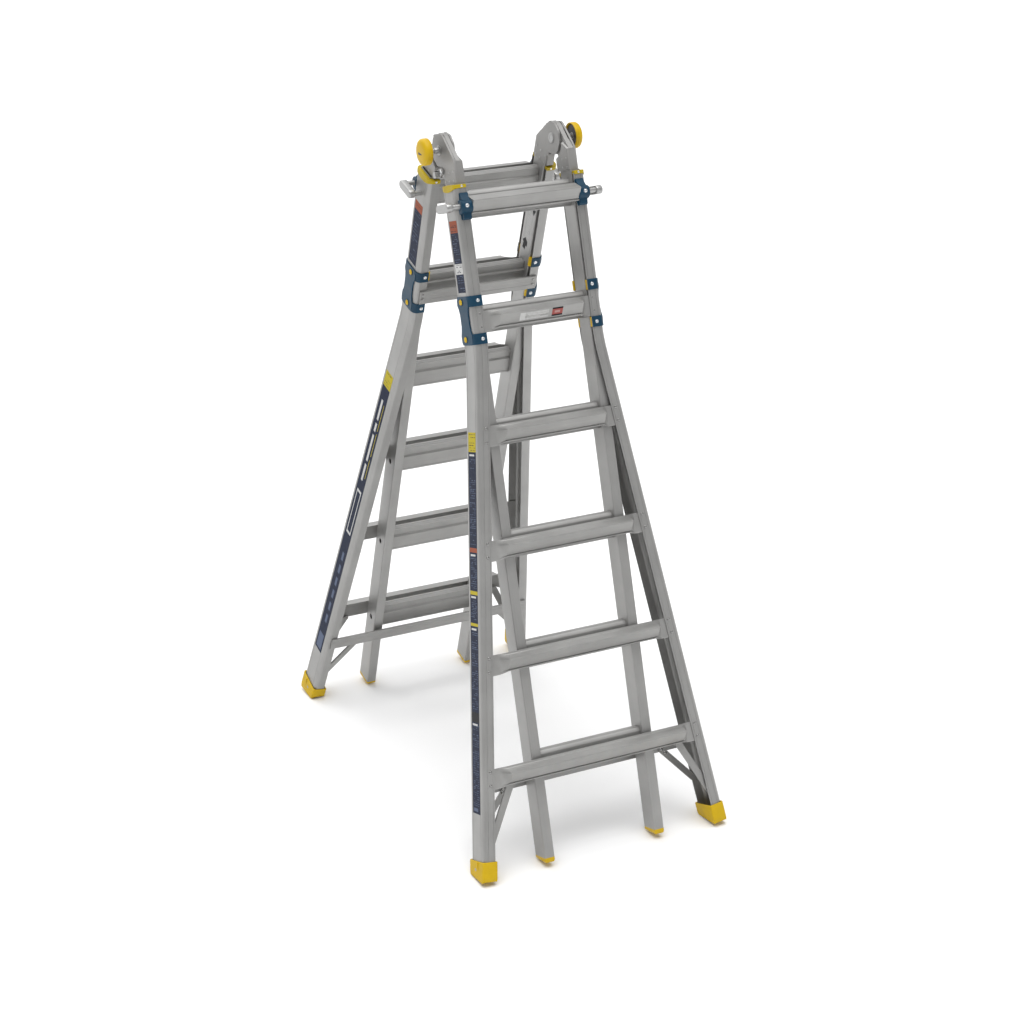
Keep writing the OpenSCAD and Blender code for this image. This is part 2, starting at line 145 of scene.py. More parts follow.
def loft(bm, rings, mat=0):
    """Closed rings of points joined by quads and capped. UVs run round and along the loft, in metres."""
    uv = bm.loops.layers.uv.verify()
    verts = [[bm.verts.new(p) for p in ring] for ring in rings]
    count = len(rings[0])
    round_ = [0.0]
    for j in range(count):
        a, b = Vector(rings[0][j]), Vector(rings[0][(j + 1) % count])
        round_.append(round_[-1] + (b - a).length * MM)
    along_ = [0.0]
    for i in range(len(rings) - 1):
        a, b = Vector(rings[i][0]), Vector(rings[i + 1][0])
        along_.append(along_[-1] + (b - a).length * MM)
    for i in range(len(rings) - 1):
        for j in range(count):
            k = (j + 1) % count
            face = bm.faces.new((verts[i][j], verts[i][k], verts[i + 1][k], verts[i + 1][j]))
            face.material_index = mat
            spots = ((round_[j], along_[i]), (round_[j + 1], along_[i]),
                     (round_[j + 1], along_[i + 1]), (round_[j], along_[i + 1]))
            for loop, spot in zip(face.loops, spots):
                loop[uv].uv = spot
    for ring in (verts[0][::-1], verts[-1]):
        bm.faces.new(ring).material_index = mat


AXES = {"x": lambda a, b, h: (h, a, b), "n": lambda a, b, h: (a, h, b), "s": lambda a, b, h: (a, b, h)}


def prism(bm, outline, axis, lo, hi, mat=0):
    """Outline extruded along x (drawn in n, s), along n (in x, s) or along s (in x, n)."""
    put = AXES[axis]
    loft(bm, [[put(a, b, h) for a, b in outline] for h in (lo, hi)], mat)


def lathe(bm, centre, axis, profile, steps=28, mat=0):
    """Profile of (radius, height) turned about an axis through centre: +x, -x, +n or -n."""
    sign = 1 if axis[0] == "+" else -1
    rings = []
    for r, h in profile:
        ring = []
        for i in range(steps):
            t = 2 * math.pi * i / steps
            a, b = max(r, 0.01) * math.cos(t), max(r, 0.01) * math.sin(t)
            if axis[1] == "x":
                ring.append((centre[0] + sign * h, centre[1] + a, centre[2] + b))
            else:
                ring.append((centre[0] + a, centre[1] + sign * h, centre[2] + b))
        rings.append(ring)
    loft(bm, rings, mat)


def rivet(bm, centre, axis, r, h, mat=0):
    """Domed rivet head with a flat rim."""
    dome = [(r * math.cos(t), 0.35 * h + 0.65 * h * math.sin(t)) for t in
            [math.radians(a) for a in (0, 20, 40, 60, 78, 90)]]
    lathe(bm, centre, axis, [(r * 0.97, 0), (r, 0.2 * h)] + dome, 20, mat)


def bolt(bm, centre, axis, r, h):
    """Button-head bolt with a round socket, on a washer."""
    lathe(bm, centre, axis, [(r, 0), (r, 0.18 * h), (r * 0.98, 0.22 * h)])
    lathe(bm, centre, axis, [(r * 0.8, 0.2 * h), (r * 0.8, 0.5 * h), (r * 0.68, 0.85 * h), (r * 0.5, h),
                             (r * 0.36, h), (r * 0.34, 0.55 * h), (0, 0.5 * h)], 24)


def mirrored(bm):
    """Adds the left-hand copy of a right-hand mesh."""
    geom = bmesh.ops.duplicate(bm, geom=bm.verts[:] + bm.edges[:] + bm.faces[:])["geom"]
    for v in [g for g in geom if isinstance(g, bmesh.types.BMVert)]:
        v.co.x = -v.co.x
    bmesh.ops.reverse_faces(bm, faces=[g for g in geom if isinstance(g, bmesh.types.BMFace)])


def flipped(bm):
    """Turns a right-hand mesh into a left-hand one."""
    for v in bm.verts:
        v.co.x = -v.co.x
    bmesh.ops.reverse_faces(bm, faces=bm.faces[:])


def finish_piece(bm, node, body, materials, place, bevel=0.5, segments=2, angle=38, name=None):
    """Makes the object that stands for a CAD node, or one of its own by name, with its bevel and finish."""
    bm.transform(place)
    bmesh.ops.recalc_face_normals(bm, faces=bm.faces[:])
    mesh = bpy.data.meshes.new(name or node + "_fine")
    bm.to_mesh(mesh)
    bm.free()
    obj = bpy.data.objects.new(name or node + "_fine", mesh)
    bpy.context.scene.collection.objects.link(obj)
    for material in materials:
        mesh.materials.append(material)
    mesh.polygons.foreach_set("use_smooth", [True] * len(mesh.polygons))
    mesh.set_sharp_from_angle(angle=math.radians(angle))
    if bevel:
        mod = obj.modifiers.new("edge", "BEVEL")
        mod.width = bevel * MM
        mod.segments = segments
        mod.limit_method = "ANGLE"
        mod.angle_limit = math.radians(angle)
        mod.harden_normals = True
        mod.use_clamp_overlap = True
    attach(obj, body)
    if node:
        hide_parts(node)
    return obj


# ---- materials ----
def new_material(name):
    material = bpy.data.materials.new(name)
    material.use_nodes = True
    nodes = material.node_tree.nodes
    return material, nodes, material.node_tree.links, nodes["Principled BSDF"]


def ramp(nodes, links, source, low, high, stops=(0.3, 0.7)):
    """Colour ramp between two colours or two grey values, fed by source."""
    node = nodes.new("ShaderNodeValToRGB")
    for element, stop, value in zip(node.color_ramp.elements, stops, (low, high)):
        element.position = stop
        element.color = (value, value, value, 1) if isinstance(value, float) else (*value, 1)
    links.new(source, node.inputs["Fac"])
    return node.outputs["Color"]


def noise(nodes, links, vector, scale, detail=3.0, rough=0.55):
    node = nodes.new("ShaderNodeTexNoise")
    node.inputs["Scale"].default_value = scale
    node.inputs["Detail"].default_value = detail
    node.inputs["Roughness"].default_value = rough
    links.new(vector, node.inputs["Vector"])
    return node.outputs["Fac"]


def stretched(nodes, links, source, scale, turn_x=0.0):
    """Coordinates turned about X and then stretched."""
    rotate = nodes.new("ShaderNodeMapping")
    rotate.inputs["Rotation"].default_value = (turn_x, 0, 0)
    links.new(source, rotate.inputs["Vector"])
    scaled = nodes.new("ShaderNodeMapping")
    scaled.inputs["Scale"].default_value = scale
    links.new(rotate.outputs["Vector"], scaled.inputs["Vector"])
    return scaled.outputs["Vector"]


def bump(nodes, links, shader, heights, strength, distance):
    """Bump from one or more height sources with their shares of the strength, chained."""
    normal = None
    for height, k in heights:
        node = nodes.new("ShaderNodeBump")
        node.inputs["Strength"].default_value = strength * k
        node.inputs["Distance"].default_value = distance
        links.new(height, node.inputs["Height"])
        if normal is not None:
            links.new(normal, node.inputs["Normal"])
        normal = node.outputs["Normal"]
    links.new(normal, shader.inputs["Normal"])


def aluminium(name, low, high, grain="uv", turn_x=0.0, rough=(0.36, 0.5), metallic=0.62):
    """Mill-finished extrusion: fine draw lines along its length, soft cloudy tone and handling scuffs."""
    material, nodes, links, shader = new_material(name)
    coords = nodes.new("ShaderNodeTexCoord")
    if grain == "uv":
        lines = stretched(nodes, links, coords.outputs["UV"], (900, 5, 1))
    else:
        lines = stretched(nodes, links, coords.outputs["Object"], (900, 900, 5), turn_x)
    fine = noise(nodes, links, lines, 1.0, 4.0, 0.7)
    clouds = noise(nodes, links, coords.outputs["Object"], 9.0, 4.0)
    scuffs = noise(nodes, links, coords.outputs["Object"], 160.0, 5.0, 0.75)
    mix = nodes.new("ShaderNodeMix")
    mix.data_type = "FLOAT"
    mix.inputs[0].default_value = 0.45
    links.new(clouds, mix.inputs[2])
    links.new(fine, mix.inputs[3])
    links.new(ramp(nodes, links, mix.outputs[0], low, high, (0.35, 0.68)), shader.inputs["Base Color"])
    links.new(ramp(nodes, links, fine, rough[0], rough[1], (0.3, 0.75)), shader.inputs["Roughness"])
    shader.inputs["Metallic"].default_value = metallic
    shader.inputs["Specular IOR Level"].default_value = 0.35
    bump(nodes, links, shader, [(fine, 1.0), (scuffs, 0.35)], 0.22, 0.0003)
    return material


def moulded(name, low, high, rough, scale=420.0, strength=0.25):
    """Moulded plastic: faint texture, cloudy tone, duller handling marks."""
    material, nodes, links, shader = new_material(name)
    coords = nodes.new("ShaderNodeTexCoord")
    grain = noise(nodes, links, coords.outputs["Object"], scale, 3.0, 0.6)
    clouds = noise(nodes, links, coords.outputs["Object"], 22.0, 5.0, 0.6)
    links.new(ramp(nodes, links, clouds, low, high, (0.34, 0.66)), shader.inputs["Base Color"])
    links.new(ramp(nodes, links, clouds, rough[0], rough[1]), shader.inputs["Roughness"])
    shader.inputs["Specular IOR Level"].default_value = 0.3
    bump(nodes, links, shader, [(grain, 1.0)], strength, 0.0004)
    return material


def plated(name, low, high, rough):
    """Plated or bare metal fitting, faintly mottled."""
    material, nodes, links, shader = new_material(name)
    coords = nodes.new("ShaderNodeTexCoord")
    spots = noise(nodes, links, coords.outputs["Object"], 240.0, 4.0, 0.7)
    links.new(ramp(nodes, links, spots, low, high), shader.inputs["Base Color"])
    links.new(ramp(nodes, links, spots, rough[0], rough[1]), shader.inputs["Roughness"])
    shader.inputs["Metallic"].default_value = 0.75
    bump(nodes, links, shader, [(spots, 1.0)], 0.12, 0.0003)
    return material


def film(name, colour):
    """Printed vinyl film: thin gloss, slight ink mottling."""
    material, nodes, links, shader = new_material(name)
    coords = nodes.new("ShaderNodeTexCoord")
    spots = noise(nodes, links, coords.outputs["Object"], 130.0, 3.0)
    dull = tuple(c * 0.86 for c in colour)
    links.new(ramp(nodes, links, spots, dull, colour), shader.inputs["Base Color"])
    links.new(ramp(nodes, links, spots, 0.38, 0.5), shader.inputs["Roughness"])
    shader.inputs["Specular IOR Level"].default_value = 0.12
    bump(nodes, links, shader, [(spots, 1.0)], 0.06, 0.0002)
    return material


RAIL_METAL = aluminium("rail_aluminium", (0.315, 0.313, 0.306), (0.40, 0.397, 0.389))
RUNG_METAL = aluminium("rung_aluminium", (0.315, 0.312, 0.304), (0.40, 0.397, 0.388), rough=(0.4, 0.52))
INNER_METAL = {
    end: aluminium(f"inner_rail_aluminium_{end}", (0.33, 0.327, 0.32), (0.41, 0.407, 0.398), "object", tilt)
    for end, tilt in (("front", LEAN), ("rear", -LEAN))}
HINGE_METAL = aluminium("hinge_plate", (0.28, 0.275, 0.268), (0.37, 0.365, 0.356), "object",
                        rough=(0.42, 0.56), metallic=0.5)
ZINC = plated("zinc_plate", (0.36, 0.36, 0.355), (0.46, 0.46, 0.455), (0.34, 0.46))
BRIGHT = plated("bright_fastener", (0.72, 0.74, 0.76), (0.86, 0.87, 0.88), (0.16, 0.3))
# Rivet metal darker than the rails' aluminium: painted shade for the dark lower sides and edges of the rivet
# domes
RIVET_PAINTED_SHADE = plated("aluminium_rivet_painted_shade", (0.26, 0.26, 0.255), (0.36, 0.36, 0.35), (0.2, 0.3))
DARK = plated("dark_steel", (0.05, 0.05, 0.055), (0.1, 0.1, 0.105), (0.35, 0.5))
BLUE = moulded("blue_plastic", (0.003, 0.034, 0.068), (0.006, 0.048, 0.092), (0.34, 0.5))
YELLOW = moulded("yellow_plastic", (0.58, 0.37, 0.002), (0.66, 0.43, 0.004), (0.38, 0.52))
RUBBER = moulded("yellow_rubber", (0.55, 0.36, 0.002), (0.64, 0.42, 0.004), (0.5, 0.66), 700.0, 0.4)
COLLAR = moulded("collar_plastic", (0.44, 0.32, 0.006), (0.54, 0.40, 0.01), (0.42, 0.56))
NAVY = film("label_navy", (0.003, 0.010, 0.036))
WHITE = film("label_white", (0.62, 0.62, 0.61))
PALE = film("label_pale", (0.10, 0.13, 0.21))
ORANGE = film("label_orange", (0.33, 0.075, 0.03))
AMBER = film("label_yellow", (0.52, 0.42, 0.015))
BLACK = film("label_black", (0.012, 0.012, 0.014))
RED = film("label_red", (0.38, 0.10, 0.09))
GREY = film("label_grey", (0.52, 0.52, 0.51))
PINK = film("label_pink", (0.52, 0.30, 0.28))
INKS = [NAVY, WHITE, PALE, ORANGE, AMBER, BLACK, RED, GREY, PINK]
INK = {m.name: i for i, m in enumerate(INKS)}


# ---- rails ----
def notch(a, b, along_x, face):
    """Four points of a shallow groove from a to b, cut into a face."""
    depth = 0.7
    if along_x:
        return [(a, face), (a, face - depth), (b, face - depth), (b, face)]
    return [(face, a), (face - depth, a), (face - depth, b), (face, b)]


def rail_outline():
    """C-shaped section of the outer rail: x from the web face, n."""
    outer = [(-FRONT_LIP, OUTER_FRONT)]
    outer += notch(-31, -29.6, True, OUTER_FRONT) + notch(-15.2, -13.8, True, OUTER_FRONT)
    outer += turn(-CORNER_X, OUTER_FRONT - CORNER_FRONT, CORNER_X, CORNER_FRONT, 90, 0, 7)
    outer += notch(78.4, 77.0, False, 0) + notch(29.2, 27.8, False, 0)
    outer += turn(-CORNER_X, OUTER_BACK + CORNER_BACK, CORNER_X, CORNER_BACK, 0, -90, 7)
    outer += [(-BACK_LIP, OUTER_BACK)]
    inner = [(-BACK_LIP, OUTER_BACK + WALL)]
    inner += turn(-CORNER_X, OUTER_BACK + CORNER_BACK, CORNER_X - WALL, CORNER_BACK - WALL, -90, 0, 7)
    inner += turn(-CORNER_X, OUTER_FRONT - CORNER_FRONT, CORNER_X - WALL, CORNER_FRONT - WALL, 0, 90, 7)
    inner += [(-FRONT_LIP, OUTER_FRONT - WALL)]
    return outer + inner


def splayed(u, n, down):
    """Point on the splayed lower rail: u from the web face, down the splay from the bend corner."""
    return (OUTER_X + u * math.cos(FLARE) + down * math.sin(FLARE), n,
            BEND_S - u * math.sin(FLARE) + down * math.cos(FLARE))


def down_splay(s):
    return (s - BEND_S) / math.cos(FLARE)


def rail_ring(outline, s):
    if s <= BEND_S - BEND_T:
        return [(OUTER_X + u, n, s) for u, n in outline]
    return [splayed(u, n, down_splay(s)) for u, n in outline]


def bend_ring(outline, share):
    """Ring part of the way round the bend, share from 0 to 1."""
    a = FLARE * share
    return [(OUTER_X + BEND_R - (BEND_R - u) * math.cos(a), n,
             BEND_S - BEND_T + (BEND_R - u) * math.sin(a)) for u, n in outline]


def make_outer_rails(end):
    for hand, sign in HANDS.items():
        bm = bmesh.new()
        outline = rail_outline()
        rings = [rail_ring(outline, s) for s in (RAIL_TOP, 300, BEND_S - BEND_T)]
        rings += [bend_ring(outline, i / 8) for i in range(1, 9)]
        rings += [rail_ring(outline, s) for s in (900, 1400, RAIL_END)]
        loft(bm, rings)
        if sign < 0:
            flipped(bm)
        node = f"{end}_outer_rail_{hand}"
        finish_piece(bm, node, f"{end}_outer", [RAIL_METAL], section(end), 0.3, 1)


# ---- rungs ----
# Outer rung section: (n, s) at full depth and (n, s) where it is swaged flat, s from the rung's middle
OUTER_RUNG = [
    ((94.5, -24.5), (88.9, -24)), ((99, -22.9), (89.4, -24)), ((104, -21), (91.6, -24)),
    ((104.6, -20.2), (92.1, -22)), ((114, -16.4), (92.2, -16)), ((126.4, -11.6), (92.2, -10)),
    ((128.6, -10.3), (92.2, -8.6)), ((128.9, -8.2), (92.2, -7)), ((125.2, -3), (92.2, -1)),
    ((117.4, 8), (92.2, 9)), ((110.2, 17.6), (92.2, 21)), ((109, 18.6), (92.2, 23)),
    ((105.4, 18.9), (92.2, 25)), ((105.2, 20.6), (92.2, 27)), ((108.6, 21.2), (92.2, 28.5)),
    ((109.2, 22.6), (92.1, 30)), ((108, 24.4), (91.6, 32)), ((94.5, 25.6), (88.9, 32))]


def swage_ring(x, share, s0, slant=0.0):
    """Ring of the outer rung at x, share of the way from full depth to flat."""
    ring = []
    for (n0, a0), (n1, a1) in OUTER_RUNG:
        n = n0 + (n1 - n0) * share
        a = a0 + (a1 - a0) * share
        ring.append((x + slant * a, n, s0 + a))
    return ring


def press(t):
    """How the swage flattens along its ramp: steep by the full section, easing into the flat."""
    return math.sin(t * math.pi / 2) ** 1.15


def outer_rung(bm, s0, half, flat, blend, slant):
    """Rung whose flattened ends go behind the front flanges of rails with outer faces at half.

    The ramp starts blend and ends flat short of that face, and the end is cut at the rail's slant."""
    steps, short = 7, 13
    rings = [swage_ring(half - blend + (blend - flat) * i / steps, press(i / steps), s0)
             for i in range(steps + 1)]
    rings.append(swage_ring(half - short, 1.0, s0, slant))
    left = [[(-x, n, s) for x, n, s in ring] for ring in rings[::-1]]
    middle = [swage_ring(x, 0.0, s0) for x in (-(half - blend) / 2, 0.0, (half - blend) / 2)]
    loft(bm, left + middle + rings)


def make_outer_rungs(end):
    def finish(bm, name):
        finish_piece(bm, f"{end}_{name}", f"{end}_outer", [RUNG_METAL], section(end),
                     0.4, 2, 30)

    bm = bmesh.new()
    for k in range(2, LEVELS):
        outer_rung(bm, rung_s(k), rail_x(rung_s(k)), 49, 73, SLOPE)
    finish(bm, "lower_rungs")
    bm = bmesh.new()
    outer_rung(bm, rung_s(1), OUTER_X, 44, 70, 0.0)
    finish(bm, "bend_rung")
    bm = bmesh.new()
    loft(bm, [swage_ring(x, 0.0, FIRST_RUNG) for x in (-160, -80, 0, 80, 160)])
    finish(bm, "top_rung")


# Ribbed inner rung section: (n, s), s from the rung's middle
INNER_RUNG = [
    (42, -39), (45.5, -39), (46, -38.2), (47.5, -38.2), (48, -39), (53, -39), (53.5, -38.2), (55, -38.2),
    (55.5, -39), (60, -39), (63.2, -37.6), (64.4, -36.2), (69.6, -28.4), (70, -26.6), (69, -17),
    (67.9, -16.4), (67.8, -14.8), (68.8, -14.2), (66.6, 6.4), (65.5, 7), (65.4, 8.6), (66.4, 9.2),
    (64.2, 29.6), (63.1, 30.2), (63, 31.6), (64, 32.4), (63.6, 35), (36.5, 35), (36.5, 30), (37.4, 29.4),
    (37.4, 28), (36.5, 27.4), (36.5, -12.8), (37.2, -13.6), (42, -16)]


def make_inner_rungs(end):
    bm = bmesh.new()
    for k in range(LEVELS):
        loft(bm, [[(x, n, rung_s(k) + a) for n, a in INNER_RUNG]
                  for x in (-INNER_X[0], -80, 0, 80, INNER_X[0])])
    finish_piece(bm, f"{end}_inner_rungs", f"{end}_inner", [RUNG_METAL], section(end),
                 0.3, 2, 30)


def make_rung_rivets(end):
    """Domed rivets of the lower rungs, flush ones at the bend, and those of the back crossbar."""
    bm = bmesh.new()
    for k in range(2, LEVELS):
        for a in (-18.4, 18.4):
            s = rung_s(k) + a
            rivet(bm, (rail_x(s) - 23.4, OUTER_FRONT, s), "+n", 4.3, 2.6)
    for a in (-18, 18):
        rivet(bm, (OUTER_X - 24, OUTER_FRONT, rung_s(1) + a), "+n", 2.6, 0.5)
    for a in (306, 322):
        rivet(bm, (172, 3, FIRST_RUNG + a), "-n", 4.2, 1.6)
    mirrored(bm)
    finish_piece(bm, f"{end}_rung_rivets", f"{end}_outer", [RIVET_PAINTED_SHADE], section(end), 0)


# ---- back bars and braces ----
def make_back_bars(end):
    """Crossbar behind the bend and the ribbed bar between the rails near the feet."""
    body, place = f"{end}_outer", section(end)
    half = OUTER_X - CORNER_X
    low, high = CROSSBAR
    bm = bmesh.new()
    prism(bm, [(3.0, low), (3.0, low + 13), (3.9, low + 14), (3.9, high - 14), (3.0, high - 13), (3.0, high),
               (9.0, high), (9.0, low)], "x", -half, half)
    finish_piece(bm, f"{end}_back_crossbar", body, [RUNG_METAL], place, 0.5)
    bm = bmesh.new()
    profile = [(3.6, 0), (3.0, 1), (3.0, 11), (3.7, 12), (3.7, 25), (3.0, 26), (3.0, 36), (3.6, 37),
               (9.0, 37), (9.0, 0)]
    loft(bm, [[(side * (rail_x(BACK_BAR + a) - 14), n, BACK_BAR + a) for n, a in profile]
              for side in (-1, 0, 1)])
    finish_piece(bm, f"{end}_lower_back_bar", body, [RUNG_METAL], place, 0.5)


def stay(bm, start, stop, n0, n1, width, fold):
    """Angle-section stay between two points in (x, s): a flat leg at n0 to n1, its inner edge folded."""
    a, b = Vector(start), Vector(stop)
    line = (b - a).normalized()
    across = Vector((line.y, -line.x))
    nose = width * 0.5
    heading = math.degrees(math.atan2(line.y, line.x))
    outline = turn(b.x, b.y, nose, nose, heading - 90, heading + 90, 6)
    outline += turn(a.x, a.y, nose, nose, heading + 90, heading + 270, 6)
    prism(bm, outline, "n", n0, n1)
    near, far, sheet = a + across * nose, b + across * nose, across * 2.2
    rim = [near, far, far - sheet, near - sheet]
    prism(bm, [tuple(p) for p in rim], "n", min(n1 - fold, n0), max(n0 - fold, n1))


def make_braces(end):
    """Front stay from the lowest rung with its two spacers, and back stay from the lower back bar."""
    bm = bmesh.new()
    stay(bm, (262, FIRST_RUNG + 1552), (344, FIRST_RUNG + 1706), 86.3, 88.7, 21, 4)
    lathe(bm, (254, 88.4, FIRST_RUNG + 1549), "+n", [(8, 0), (8, 5.8)])
    lathe(bm, (338, 88.4, FIRST_RUNG + 1695), "+n", [(7, 0), (7, 3.8)])
    stay(bm, (246, FIRST_RUNG + 1580), (336, FIRST_RUNG + 1680), 11.6, 14.2, 18, -5)
    rivet(bm, (245, 14.2, FIRST_RUNG + 1578), "+n", 5.2, 3.0, 1)
    rivet(bm, (256, 14.2, FIRST_RUNG + 1590), "+n", 5.2, 3.0, 1)
    prism(bm, rounded(239, FIRST_RUNG + 1571, 253, FIRST_RUNG + 1585, 5), "n", 9.0, 12.0)
    mirrored(bm)
    finish_piece(bm, f"{end}_braces", f"{end}_outer", [RUNG_METAL, RIVET_PAINTED_SHADE],
                 section(end), 0.4)


# ---- feet, caps and collars ----
def foot_ring(inset, share, top_drop=0.0):
    """Ring of the foot, inset from its outer wall, share of the way from its rim to the ground."""
    u0, u1, n0, n1 = -40.0 + inset, 3.6 - inset, 6.0 + inset, 98.0 - inset
    outline = (turn(u1 - 7, n1 - 8, 7, 8, 0, 90, 5) + turn(u0 + 3, n1 - 3, 3, 3, 90, 180, 3)
               + turn(u0 + 3, n0 + 3, 3, 3, 180, 270, 3) + turn(u1 - 7, n0 + 8, 7, 8, 270, 360, 5))
    ring = []
    for u, n in outline:
        heel = 8 * max(0.0, (12 - n) / 6)
        toe = 5 * max(0.0, (n - 84) / 14) ** 2
        sole = min(ground_s(n) - 0.6, FOOT_S) - toe - heel
        rim = 1902.0 - 3.0 * (n - 52) / 46 + top_drop
        s = rim + (sole - rim) * share
        tuck = 0.04 * max(0.0, (share - 0.75) / 0.25) ** 2
        ring.append(splayed(u + (-18 - u) * tuck, n + (52 - n) * tuck, down_splay(s)))
    return ring


def make_feet(end):
    """Cup-shaped foot round the rail end: open rim, heel flat on the ground, rounded toe."""
    bm = bmesh.new()
    cavity = [foot_ring(3.2, share) for share in (0.62, 0.3)]
    rim = [foot_ring(inset, 0.0, drop) for inset, drop in ((3.0, 0.0), (2.2, -0.7), (0.9, -0.7), (0.0, 0.2))]
    outside = [foot_ring(0.0, share) for share in (0.15, 0.4, 0.65, 0.8, 0.88, 0.94, 0.98, 1.0)]
    loft(bm, cavity + rim + outside)
    # a raised seam and rows of small grip ribs on the side wall
    middle = 1928
    web = rail_x(middle) + 3.4
    prism(bm, [(62.4, 1903), (65.2, 1903), (65.2, 1950), (62.4, 1950)], "x", web - 4.4, web + 0.4)
    for n, s in ((18, 1916), (18, 1924), (18, 1932), (30, 1916), (30, 1924), (30, 1932), (30, 1940)):
        x = web + (s - middle) * SLOPE
        prism(bm, rounded(x - 1.0, n - 3.6, x + 0.6, n + 3.6, 0.5, 2), "s", s, s + 3.0)
    mirrored(bm)
    finish_piece(bm, f"{end}_feet", f"{end}_outer", [RUBBER], section(end), 0.5, 2, 35)
    bm = bmesh.new()
    s = 1925.0
    rivet(bm, (rail_x(s) + 3.2, 48, s), "+x", 4.4, 1.6)
    mirrored(bm)
    finish_piece(bm, f"{end}_foot_rivets", f"{end}_outer", [ZINC], section(end), 0)


def make_caps(end):
    """Yellow end caps of the inner rails, with a chamfered heel."""
    bm = bmesh.new()
    x0, x1 = INNER_X
    n0, n1 = INNER_N
    mid_x, mid_n = (x0 + x1) / 2, (n0 + n1) / 2
    rim, tip = 1934, 1948
    outline = rounded(x0 - 0.1, n0 - 0.1, x1 + 0.1, n1 + 0.1, 3.4)
    rings = []
    for share, inset in ((0, 0), (0.55, 0), (0.85, 0.8), (1.0, 2.6)):
        kx = 1 - inset / (x1 - x0) * 2
        kn = 1 - inset / (n1 - n0) * 2
        ring = []
        for x, n in outline:
            end_s = tip - 5 * max(0.0, (45 - n) / 25)
            ring.append((mid_x + (x - mid_x) * kx, mid_n + (n - mid_n) * kn, rim + (end_s - rim) * share))
        rings.append(ring)
    loft(bm, rings)
    mirrored(bm)
    finish_piece(bm, f"{end}_inner_rail_caps", f"{end}_inner", [YELLOW], section(end), 0.5)


def make_collars(end):
    """Guide collars on the tops of the outer rails, scooped along the side."""
    bm = bmesh.new()
    web = OUTER_X + 2.0
    play = 0.3
    flat = [(web, 81 - 55.2 * i / 12) for i in range(13)]
    outer = ([(COLLAR_X, 97.0)] + turn(web - 14, 81.0, 14, 16, 90, 0, 6)[:-1] + flat
             + turn(web - 14, 25.8, 14, 19, 0, -90, 6)[1:] + [(COLLAR_X, 6.8)])
    bore = [(INNER_X[1] + play, INNER_N[0] - play + 63 * i / 29) for i in range(30)]
    inner = [(COLLAR_X, INNER_N[0] - play)] + bore + [(COLLAR_X, INNER_N[1] + play)]
    ring = outer + inner

    def edge(base, droop, x, n):
        """Rim height: level at the front and back, drooping across the side."""
        side = max(0.0, (x - 165) / (web - 165))
        return base + side * droop * (1 - ((n - 52) / 42) ** 2)

    loft(bm, [[(x, n, edge(98.0, -2.0, x, n)) for x, n in ring],
              [(x, n, edge(99.0, -0.5, x, n)) for x, n in ring],
              [(x, n, 104.0) for x, n in ring],
              [(x, n, edge(107.5, 8.0 if x > OUTER_X else 0.0, x, n)) for x, n in ring]])
    rivet(bm, (174, 96.9, 102.5), "+n", 3.2, 1.0, 1)
    rivet(bm, (174, 6.9, 102.5), "-n", 3.2, 1.0, 1)
    mirrored(bm)
    finish_piece(bm, f"{end}_top_collars", f"{end}_outer", [COLLAR, BRIGHT],
                 section(end), 0.5)


# ---- brackets and glides ----
def c_outline(t):
    """Path round the outside of the outer rail, t outside it."""
    return ([(-FRONT_LIP, OUTER_FRONT + t)]
            + turn(-CORNER_X, OUTER_FRONT - CORNER_FRONT, CORNER_X + t, CORNER_FRONT + t, 90, 0, 7)
            + turn(-CORNER_X, OUTER_BACK + CORNER_BACK, CORNER_X + t, CORNER_BACK + t, 0, -90, 7)
            + [(-BACK_LIP, OUTER_BACK - t)])


def make_brackets(end):
    """Blue bracket of two bands joined by a waisted web on the side, with washers for the glide plugs."""
    bm = bmesh.new()
    for s in BANDS:
        ring = c_outline(BAND_T) + c_outline(0.05)[::-1]
        prism(bm, [(OUTER_X + u, n) for u, n in ring], "s", s, s + BAND_TALL)
    low = BRACKET_END
    a, b = BANDS
    web = [(26, a + 0.4), (79, a + 0.4), (86, a + 14), (86, a + 24),
           (81, a + 34), (78, a + 50), (78, b - 22), (81, b - 8), (86, b + 4), (85, low - 8), (80, low - 1),
           (74, low), (30, low), (24, low - 1), (18, low - 8), (18, b + 4), (23, b - 8), (27, b - 22),
           (27, a + 50), (23, a + 34), (17, a + 24), (18, a + 10)]
    prism(bm, web, "x", OUTER_X + 0.1, OUTER_X + BAND_T + 0.5)
    for s in PLUGS:
        lathe(bm, (OUTER_X + BAND_T + 0.3, PLUG_N, s), "+x",
              [(10.5, 0), (10.2, 1.1), (9.2, 1.5), (8, 1.5), (7.4, 0.6), (0, 0.6)])
    mirrored(bm)
    finish_piece(bm, f"{end}_bend_brackets", f"{end}_outer", [BLUE], section(end), 1.0, 3)
    bm = bmesh.new()
    for s in BRACKET_BOLTS:
        bolt(bm, (OUTER_X - 22, OUTER_FRONT + BAND_T, s), "+n", 5.0, 2.4)
        bolt(bm, (OUTER_X - 22, OUTER_BACK - BAND_T, s), "-n", 5.0, 2.4)
    mirrored(bm)
    finish_piece(bm, f"{end}_bracket_bolts", f"{end}_outer", [BRIGHT], section(end), 0)


